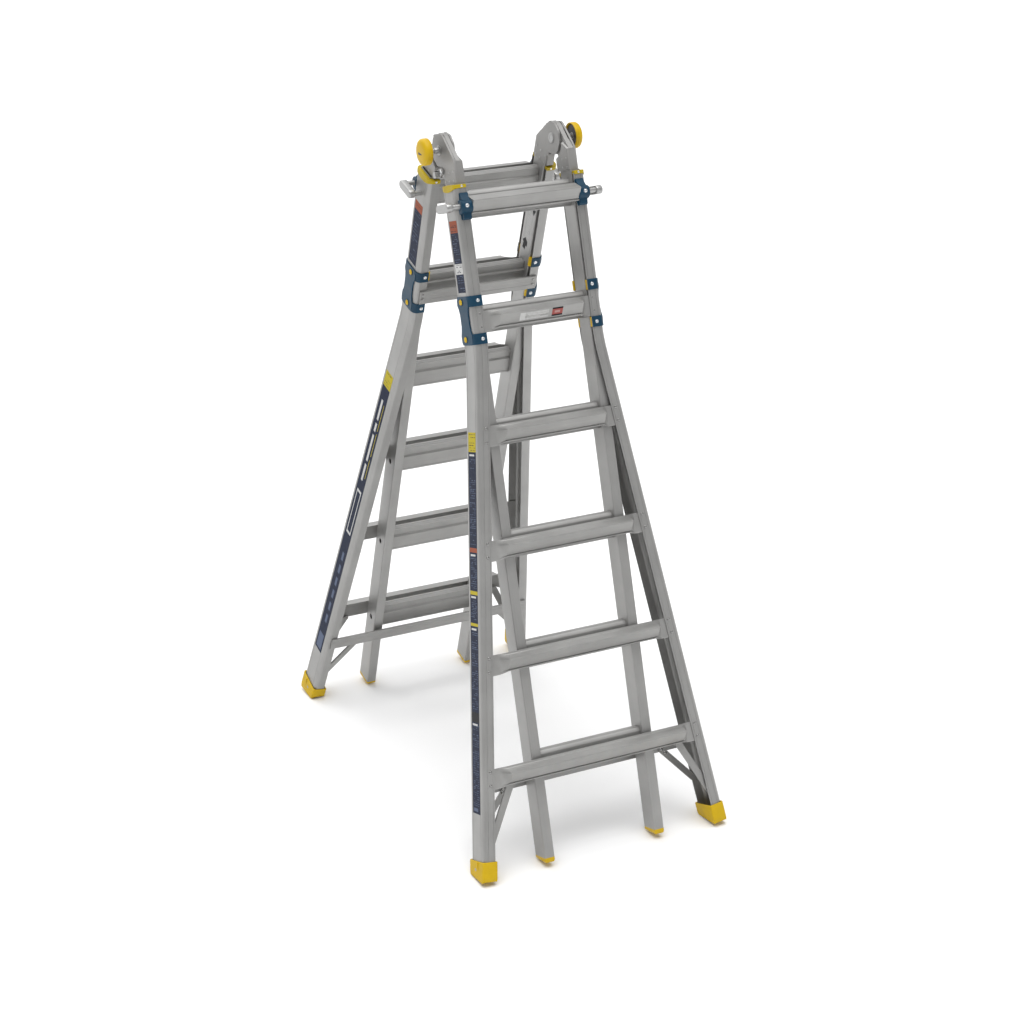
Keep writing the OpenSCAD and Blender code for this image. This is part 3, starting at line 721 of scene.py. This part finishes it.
def make_glides(end):
    """Glide pads between the rails at the bands, seen past the lips, and their plugs in the side webs."""
    bm = bmesh.new()
    front_edge = OUTER_X - FRONT_LIP + (3 if end == "rear" else -0.6)
    for s, reach in zip(BANDS, (6, 3)):
        back_edge = OUTER_X - BACK_LIP - reach
        pads = (rounded(front_edge, INNER_N[1] + 0.4, OUTER_X - 5, OUTER_FRONT - WALL - 0.2, 1.2, 2),
                rounded(back_edge, OUTER_BACK + WALL + 0.2, OUTER_X - 6, INNER_N[0] - 0.4, 1.2, 2))
        for pad in pads:
            prism(bm, pad, "s", s + 1, s + BAND_TALL - 1)
    for s in PLUGS:
        lathe(bm, (OUTER_X + BAND_T + 0.6, PLUG_N, s), "+x",
              [(7.6, 0), (7.6, 1.6), (7.0, 2.6), (5.4, 3.2), (3.0, 3.3), (2.6, 2.6), (0, 2.6)])
    mirrored(bm)
    finish_piece(bm, f"{end}_glide_pads", f"{end}_outer", [YELLOW], section(end), 0.4)


# ---- lock housings and pins ----
def make_housings(end):
    """Blue lock housing at each end of the top rung: tab, rounded barrel for the bar, lower skirt."""
    bm = bmesh.new()
    face = OUTER_FRONT
    back = [(161, -34), (183, -34), (185, -31), (186, -12), (186.6, 20), (186.6, 35), (184, 38), (161, 38),
            (159, 35), (159, -31)]
    prism(bm, [(x, FIRST_RUNG + a) for x, a in back], "n", face + 0.1, face + 3.5)
    ramped = [(face, -34), (face + 4.5, -34), (103, -24), (111.5, -14.5), (114, -8), (114, 15),
              (109.5, 20), (108.6, 34), (105, 38), (face, 38)]
    prism(bm, [(n, FIRST_RUNG + a) for n, a in ramped], "x", 161.5, 184.5)
    hump = [(face, -15), (106, -14.5), (113, -12.5), (118, -9), (120.4, -4), (120.8, 2), (120.4, 9),
            (117, 15), (111, 19.5), (104, 22), (face, 23)]
    rings = []
    for x, k in ((158, 0.95), (159.4, 1.0), (188.6, 1.0), (191, 0.9)):
        rings.append([(x, face + 0.1 + (n - face) * k, FIRST_RUNG + 2 + (a - 2) * k) for n, a in hump])
    loft(bm, rings)
    mirrored(bm)
    finish_piece(bm, f"{end}_lock_housings", f"{end}_outer", [BLUE], section(end), 1.0, 3)
    bm = bmesh.new()
    bolt(bm, (176, 120.6, FIRST_RUNG + 1), "+n", 5.4, 2.6)
    mirrored(bm)
    finish_piece(bm, f"{end}_housing_bolts", f"{end}_outer", [BRIGHT], section(end), 0)


def make_lock_pins(end):
    """J-shaped lock: a bar in the housing, a rounded side link and the pin that enters the inner rail."""
    x0, x1 = LINK_X
    mid_n, mid_s = (BAR_N + LOCK_N) / 2, (BAR_S + LOCK_S) / 2
    outline = turn(BAR_N, mid_s, 11.5, 11.8, -90, 90, 8) + turn(LOCK_N, mid_s, 11.5, 11.8, 90, 270, 8)
    rounding = ((x0, 0.9), (x0 + 1.6, 0.98), (x0 + 4, 1.0), (x1 - 4, 1.0), (x1 - 1.4, 0.96), (x1, 0.86))
    for hand, sign in HANDS.items():
        bm = bmesh.new()
        lathe(bm, (178, BAR_N, BAR_S), "+x", [(BAR_R, 0), (BAR_R, x0 - 177)])
        lathe(bm, (188, LOCK_N, LOCK_S), "+x", [(BAR_R - 1.6, 0), (BAR_R, 1.6), (BAR_R, x0 - 187)])
        loft(bm, [[(x, mid_n + (n - mid_n) * (1 - (1 - k) * 0.4), mid_s + (s - mid_s) * k)
                   for n, s in outline] for x, k in rounding])
        if sign < 0:
            flipped(bm)
        finish_piece(bm, f"{end}_lock_pin_{hand}", f"{end}_lock_{hand}", [ZINC],
                     section(end), 0.5)


# ---- hinges ----
def disc(r, lobes=0, depth=0.0):
    """Circle about the hinge axis, scalloped where it has lobes."""
    steps = 72
    out = []
    for i in range(steps):
        t = 2 * math.pi * i / steps
        k = r - depth * (0.5 - 0.5 * math.cos(lobes * t)) if lobes else r
        out.append((k * math.cos(t), k * math.sin(t)))
    return out


def notched(r, start, stop, bite):
    """Hinge disc edge from start to stop in degrees, stepped by its index notches."""
    out = []
    steps = round((stop - start) / 6)
    for i in range(steps + 1):
        a = start + (stop - start) * i / steps
        k = r - bite * ((i // 3) % 2)
        for t in (math.radians(a - 0.6), math.radians(a + 0.6)):
            out.append((k * math.cos(t), k * math.sin(t)))
    return out


# Hinge outlines in (n, s): foot of the arm, edges of the arms, top of the front disc, edge clear of the discs
HINGE_FOOT = [(83, 93.9), (11, 93.9)]
REAR_ARM = [(45.4, -13.5), (47.6, -12.6), (60, 7), (62, 7.6), (83, 36.5)] + HINGE_FOOT + [(11, 62)]
FRONT_ARM = [(64, 8), (83, 34)] + HINGE_FOOT + [(11, 62)]
FRONT_DISC = [(-24, -43.5), (-20, -44.4), (2, -43.6), (20, -41.2), (27, -38.2), (37, -27.5)]
CLEARANCE = [(11, 58.6), (22, 54.4), (38, 45), (49, 32.6)]


def block(bm, inner, outer, x0, x1):
    """Block below the discs, its facet running from one outline on the inside to another on the outside."""
    tail = HINGE_FOOT + CLEARANCE
    loft(bm, [[(x, n, s) for n, s in head + tail] for x, head in ((x0, inner), (x1, outer))])


def make_hinges():
    """Lap hinge. Rear: inner plate. Front: thick outer plate. Both arms widen to a block below the discs."""
    for hand, sign in HANDS.items():
        bm = bmesh.new()
        prism(bm, notched(46.0, 80, 336, 1.8) + REAR_ARM, "x", HINGE_X[0], 160.6)
        prism(bm, disc(26), "x", 160.2, 161.2)
        block(bm, [(56, 18), (61.4, 9), (83, 36.5)], [(53, 19), (57, 14), (83, 37.5)], 155.8, 181.4)
        if sign < 0:
            flipped(bm)
        finish_piece(bm, f"rear_hinge_{hand}", "rear_inner", [HINGE_METAL],
                     section("rear"), 0.9, 3)

        bm = bmesh.new()
        prism(bm, notched(46.0, 80, 236, 1.8) + FRONT_DISC + FRONT_ARM, "x", 176.2, HINGE_X[1])
        prism(bm, disc(43.4, 9, 1.2), "x", 174.0, 176.6)
        prism(bm, notched(45.4, 80, 322, 1.4) + [(60, 8), (82, 36), (82, 60), (20, 60)], "x", 161.8, 174.2)
        block(bm, [(50.5, 30), (52, 19), (81, 37)], [(57, 16), (63.6, 8.6), (82.9, 34.6)], HINGE_X[0], 181.6)
        if sign < 0:
            flipped(bm)
        finish_piece(bm, f"front_hinge_{hand}", "front_inner", [HINGE_METAL],
                     section("front"), 0.7, 3)


def make_hinge_rivets(end):
    """Rivets through each hinge foot. The first has no outer head, where the latch passes."""
    bm = bmesh.new()
    latch_side = (17, 66)
    for n, s in (latch_side, (17, 86), (45, 86), (70, 87), (72, 62), (46, 64)):
        if (n, s) != latch_side:
            rivet(bm, (HINGE_X[1] if end == "front" else 181.4, n, s), "+x", 3.6, 1.2)
        rivet(bm, (HINGE_X[0], n, s), "-x", 3.6, 1.2)
    mirrored(bm)
    finish_piece(bm, f"{end}_hinge_rivets", f"{end}_inner", [ZINC], section(end), 0)


def make_pivots():
    """Hinge pivots: an outer boss with the sleeve of the knob's stem, an inner head and the shank."""
    bm = bmesh.new()
    lathe(bm, (182.1, 0, 0), "+x", [(14, 0), (14, 1.0), (13, 1.8), (11, 2.2), (8.2, 2.8), (8.2, 14.2),
                                    (7.8, 14.8), (6.9, 14.8), (6.9, 1.2)])
    lathe(bm, (154.9, 0, 0), "-x", [(15, 0), (15, 1.0), (13.6, 1.9), (9, 2.1), (8.4, 1.4), (0, 1.4)])
    lathe(bm, (156, 0, 0), "+x", [(11.9, 0), (11.9, 27)])
    mirrored(bm)
    finish_piece(bm, "hinge_pivots", "rear_inner", [ZINC], at_pivot(), 0.4)


def make_knobs():
    """Chunky release knobs: plated stem, dark disc in a hollow grooved cap, and a plain index slot."""
    head = 213.6
    cap = [(0, 16), (28.6, 16), (30.4, 14), (31.4, 2), (32.4, 0.5), (34.6, 0.3), (35.7, 1.6), (36, 5.2),
           (35.2, 6.0), (35.2, 7.0), (36, 7.8), (36, 13.4), (35.3, 16.8), (33.2, 19.8), (30, 21.8),
           (25, 23.2), (20, 24), (12, 24.4), (0, 24.5)]
    slot = [(-10, 1.6), (-4, 0.6), (10, 2.4), (11.4, 4), (10, 5.6), (-4, 7.4), (-10, 6.4)]
    for hand, sign in HANDS.items():
        bm = bmesh.new()
        lathe(bm, (195.6, 0, 0), "+x", [(6.4, 0), (6.4, 22.4), (12, 23.4), (12, 31.4)], mat=2)
        lathe(bm, (218.5, 0, 0), "+x", [(29.5, 0), (29.5, 1.5), (0, 1.6)], 40, 1)
        lathe(bm, (head, 0, 0), "+x", cap, 64)
        prism(bm, slot, "x", head + 22.5, head + 24.75, 1)
        if sign < 0:
            flipped(bm)
        finish_piece(bm, f"hinge_knob_{hand}", f"knob_{hand}", [YELLOW, DARK, ZINC],
                     at_pivot(), 0.3)


def make_latches():
    """Release tab on the front hinge plate: a pivoted strap with a square plated block."""
    x = HINGE_X[1] + 3
    strap = turn(8, 56, 8.5, 8.5, 80, -70, 8) + [(-6, 49.4), (-16, 51), (-21, 54), (-22, 60), (-22, 70),
                                                 (-20, 72), (-7, 72), (1, 67)]
    for hand, sign in HANDS.items():
        bm = bmesh.new()
        prism(bm, strap, "x", x, x + 3)
        rings = []
        for h, k in ((0, 1.0), (10.6, 1.0), (12, 0.84)):
            rings.append([(x + 2.9 + h, -13.5 + (n + 13.5) * k, 63 + (s - 63) * k)
                          for n, s in rounded(-21, 55, -6, 71, 2.0, 2)])
        loft(bm, rings)
        prism(bm, rounded(-18, 52.4, -9, 55.4, 1.0, 2), "x", x + 3.6, x + 11, 1)
        lathe(bm, (182.3, 8, 56), "+x", [(5.5, 0), (5.5, 3)])
        rivet(bm, (x + 3, 8, 56), "+x", 5.6, 2.2, 2)
        rivet(bm, (x + 3, 2, 63.5), "+x", 2.6, 1.6, 2)
        if sign < 0:
            flipped(bm)
        finish_piece(bm, f"hinge_latch_{hand}", f"latch_{hand}", [ZINC, DARK, BRIGHT],
                     section("front"), 0.5)


# ---- labels ----
def label_block(bm, s0, s1, n0, n1, ink, level, splay):
    """A printed block on the rail's web between s0 and s1, n0 and n1, raised by its level."""
    corners = ((n0, s0), (n1, s0), (n1, s1), (n0, s1))
    rings = []
    for h in (0.02, 0.18 + 0.07 * level):
        if splay:
            rings.append([splayed(h, n, down_splay(s)) for n, s in corners])
        else:
            rings.append([(OUTER_X + h, n, s) for n, s in corners])
    loft(bm, rings, INK[ink.name])


def flecks(bm, s0, s1, ink, splay, seed, fill=0.7, step=5.2):
    """Fine uneven bars that stand for small print: generic marks, no letters."""
    lo, hi = LABEL_N
    wide = hi - lo
    first, last = 0.08, 0.92
    draw = random.Random(seed)
    s = s0
    while s + 2 < s1:
        tall = draw.uniform(1.0, 2.2)
        a = first + draw.uniform(0, 0.12)
        while a < last - 0.06:
            b = min(last, a + draw.uniform(0.06, 0.3))
            if draw.random() < fill:
                label_block(bm, s, s + tall, lo + wide * a, lo + wide * b, ink, 1, splay)
            a = b + draw.uniform(0.03, 0.08)
        s += step * draw.uniform(0.8, 1.3)
        if draw.random() < 0.14:
            s += step * 1.6


def front_label(bm):
    """Label strips of the front section. Heights along the strip are from the first rung."""
    base = FIRST_RUNG
    lo, hi = LABEL_N
    # upper strip: orange header, navy field, white panel, navy field
    label_block(bm, base + 36, base + 68, lo, hi, ORANGE, 0, False)
    flecks(bm, base + 48, base + 66, BLACK, False, 41, 0.85, 4.0)
    label_block(bm, base + 68, base + 150, lo, hi, NAVY, 0, False)
    flecks(bm, base + 72, base + 147, PALE, False, 3)
    label_block(bm, base + 150, base + 178, lo, hi, WHITE, 0, False)
    flecks(bm, base + 153, base + 176, NAVY, False, 43, 0.6, 4.6)
    label_block(bm, base + 178, base + 227, lo, hi, NAVY, 0, False)
    flecks(bm, base + 182, base + 224, PALE, False, 5)
    # lower strip: amber head, then navy fields between narrow coloured bars
    fields = [(598, 650, AMBER), (650, 905, NAVY), (905, 917, ORANGE), (917, 1020, NAVY),
              (1020, 1030, AMBER), (1030, 1106, NAVY), (1106, 1114, AMBER), (1114, 1345, NAVY),
              (1345, 1372, BLACK), (1372, 1619, NAVY)]
    for s0, s1, ink in fields:
        label_block(bm, base + s0, base + s1, lo, hi, ink, 0, True)
    flecks(bm, base + 603, base + 647, BLACK, True, 7, 0.6, 6.0)
    for i, (s0, s1) in enumerate(((656, 900), (922, 1016), (1034, 1102), (1118, 1340), (1376, 1600))):
        flecks(bm, base + s0, base + s1, PALE, True, 11 + i)
    for s0 in (656, 922, 1034, 1120, 1376):
        label_block(bm, base + s0, base + s0 + 5, lo + 6, hi - 10, WHITE, 2, True)
    label_block(bm, base + 1604, base + 1613, lo + 6, hi - 14, PALE, 1, True)


def rear_label(bm):
    """Label strips of the rear section. Heights along the strip are from the first rung."""
    base = FIRST_RUNG
    lo, hi = LABEL_N
    wide = hi - lo
    label_block(bm, base + 36, base + 62, lo, hi, ORANGE, 0, False)
    flecks(bm, base + 47, base + 60, BLACK, False, 45, 0.85, 4.0)
    label_block(bm, base + 62, base + 227, lo, hi, NAVY, 0, False)
    flecks(bm, base + 68, base + 222, PALE, False, 21, 0.75, 9.0)
    for s0, s1, ink in ((598, 646, AMBER), (646, 1619, NAVY)):
        label_block(bm, base + s0, base + s1, lo, hi, ink, 0, True)
    flecks(bm, base + 603, base + 642, BLACK, True, 23, 0.6, 7.0)
    # long plain stripes in place of lettering, then an outlined panel, short bars and a pale end panel
    for s0, s1 in ((690, 760), (772, 800), (812, 905), (917, 975)):
        label_block(bm, base + s0, base + s1, lo + wide * 0.46, lo + wide * 0.68, WHITE, 1, True)
    for s0, s1 in ((700, 790), (800, 880), (892, 960)):
        label_block(bm, base + s0, base + s1, lo + wide * 0.2, lo + wide * 0.25, AMBER, 1, True)
    label_block(bm, base + 1010, base + 1170, lo + wide * 0.2, lo + wide * 0.8, WHITE, 1, True)
    label_block(bm, base + 1018, base + 1162, lo + wide * 0.28, lo + wide * 0.72, NAVY, 2, True)
    for i in range(6):
        s0 = base + 1240 + i * 48
        label_block(bm, s0, s0 + 30, lo + wide * 0.3, lo + wide * 0.56, PALE, 1, True)
    label_block(bm, base + 1556, base + 1612, lo + 7, hi - 7, PALE, 1, True)


def make_labels(end):
    bm = bmesh.new()
    if end == "front":
        front_label(bm)
    else:
        rear_label(bm)
    flipped(bm)
    finish_piece(bm, f"{end}_labels", f"{end}_outer", INKS, section(end), 0)


def make_rung_notice():
    """Small notice panels on the sloping front face of the rung at the bend."""
    bm = bmesh.new()
    top, low = Vector((128.9, -8.2)), Vector((110.2, 17.6))
    along = (low - top).normalized()
    out = Vector((along.y, -along.x))

    def panel(x0, x1, a, b, ink, level):
        """Panel from x0 to x1 and from share a to share b of the way down the face."""
        p, q = top.lerp(low, a), top.lerp(low, b)
        corners = ((x0, p), (x1, p), (x1, q), (x0, q))
        loft(bm, [[(x, c.x + out.x * lift, rung_s(1) + c.y + out.y * lift) for x, c in corners]
                  for lift in (0.02, 0.15 + 0.07 * level)], INK[ink.name])

    panel(-66, 20, 0.14, 0.9, GREY, 0)
    panel(-66, -50, 0.14, 0.9, WHITE, 1)
    for i in range(5):
        panel(-46 + 3 * (i % 3), 12 - 17 * (i % 2), 0.22 + 0.13 * i, 0.27 + 0.13 * i, WHITE, 1)
    panel(30, 62, 0.06, 0.92, BLACK, 0)
    panel(30, 62, 0.22, 0.76, RED, 1)
    panel(38, 54, 0.38, 0.6, PINK, 2)
    finish_piece(bm, None, "front_outer", INKS, section("front"), 0, name="bend_rung_notice")


def make_inner_notice():
    """Grey strip between two black marks on the inner face of one rear inner rail."""
    bm = bmesh.new()
    x = INNER_X[0]

    def mark(outline, ink, level=0):
        prism(bm, outline, "x", x - 0.12 - 0.06 * level, x - 0.02, INK[ink.name])

    mark([(22, 246), (44, 248), (33, 266)], BLACK)
    mark([(36, 264), (62, 262), (66, 345), (40, 347)], GREY)
    for i in range(9):
        s, n0, n1 = 270 + 8.2 * i, 41 + i % 3, 60 - 2 * (i % 2)
        mark([(n0, s), (n1, s), (n1, s + 1.6), (n0, s + 1.6)], WHITE, 1)
    mark([(44, 358), (58, 350), (72, 364), (66, 368), (68, 386), (53, 388), (50, 373), (43, 374)], BLACK)
    finish_piece(bm, None, "rear_inner", INKS, section("rear"), 0, name="inner_rail_notice")


# ---- build ----
for end in ENDS:
    make_outer_rails(end)
    make_outer_rungs(end)
    make_inner_rungs(end)
    make_rung_rivets(end)
    make_back_bars(end)
    make_braces(end)
    make_feet(end)
    make_caps(end)
    make_collars(end)
    make_brackets(end)
    make_glides(end)
    make_housings(end)
    make_lock_pins(end)
    make_hinge_rivets(end)
    make_labels(end)
    for hand in HANDS:
        rail = frame["nodes"][f"{end}_inner_rail_{hand}"]
        rail.data.materials.clear()
        rail.data.materials.append(INNER_METAL[end])
make_hinges()
make_pivots()
make_knobs()
make_latches()
make_inner_notice()
make_rung_notice()


# ---- stage, lights and camera ----
def make_floor():
    bm = bmesh.new()
    bmesh.ops.create_grid(bm, x_segments=1, y_segments=1, size=30)
    mesh = bpy.data.meshes.new("floor")
    bm.to_mesh(mesh)
    bm.free()
    floor = bpy.data.objects.new("floor", mesh)
    bpy.context.scene.collection.objects.link(floor)
    material, _, _, shader = new_material("pale_floor")
    shader.inputs["Base Color"].default_value = (0.9, 0.9, 0.9, 1)
    shader.inputs["Roughness"].default_value = 0.9
    mesh.materials.append(material)


def make_sun(name, heading, strength, angle):
    """Very soft directional light shining along heading."""
    light = bpy.data.lights.new(name, "SUN")
    light.energy = strength
    light.angle = math.radians(angle)
    obj = bpy.data.objects.new(name, light)
    obj.rotation_euler = Vector(heading).to_track_quat("-Z", "Y").to_euler()
    obj.location = (0, 0, 6)
    bpy.context.scene.collection.objects.link(obj)


def make_world():
    world = bpy.data.worlds.new("studio")
    world.use_nodes = True
    shade = world.node_tree.nodes["Background"]
    shade.inputs["Color"].default_value = (1, 1, 1, 1)
    shade.inputs["Strength"].default_value = 0.45
    bpy.context.scene.world = world


def make_camera():
    """Camera at the viewing angle of the reference view."""
    yaw, pitch = math.radians(26.54), math.radians(-22.31)
    camera = bpy.data.cameras.new("camera")
    camera.sensor_width = 36
    camera.lens = 78.57
    obj = bpy.data.objects.new("camera", camera)
    obj.location = (-2.6296, -5.3355, 3.2227)
    forward = Vector((math.sin(yaw) * math.cos(pitch), math.cos(yaw) * math.cos(pitch), math.sin(pitch)))
    obj.rotation_euler = forward.to_track_quat("-Z", "Y").to_euler()
    bpy.context.scene.collection.objects.link(obj)
    bpy.context.scene.camera = obj


make_floor()
make_world()
make_sun("overhead", (0.05, 0.12, -1.0), 2.5, 55)
make_sun("backdrop", (0.1, -0.8, -0.55), 1.0, 60)
bpy.context.scene.view_settings.view_transform = "Standard"
make_camera()
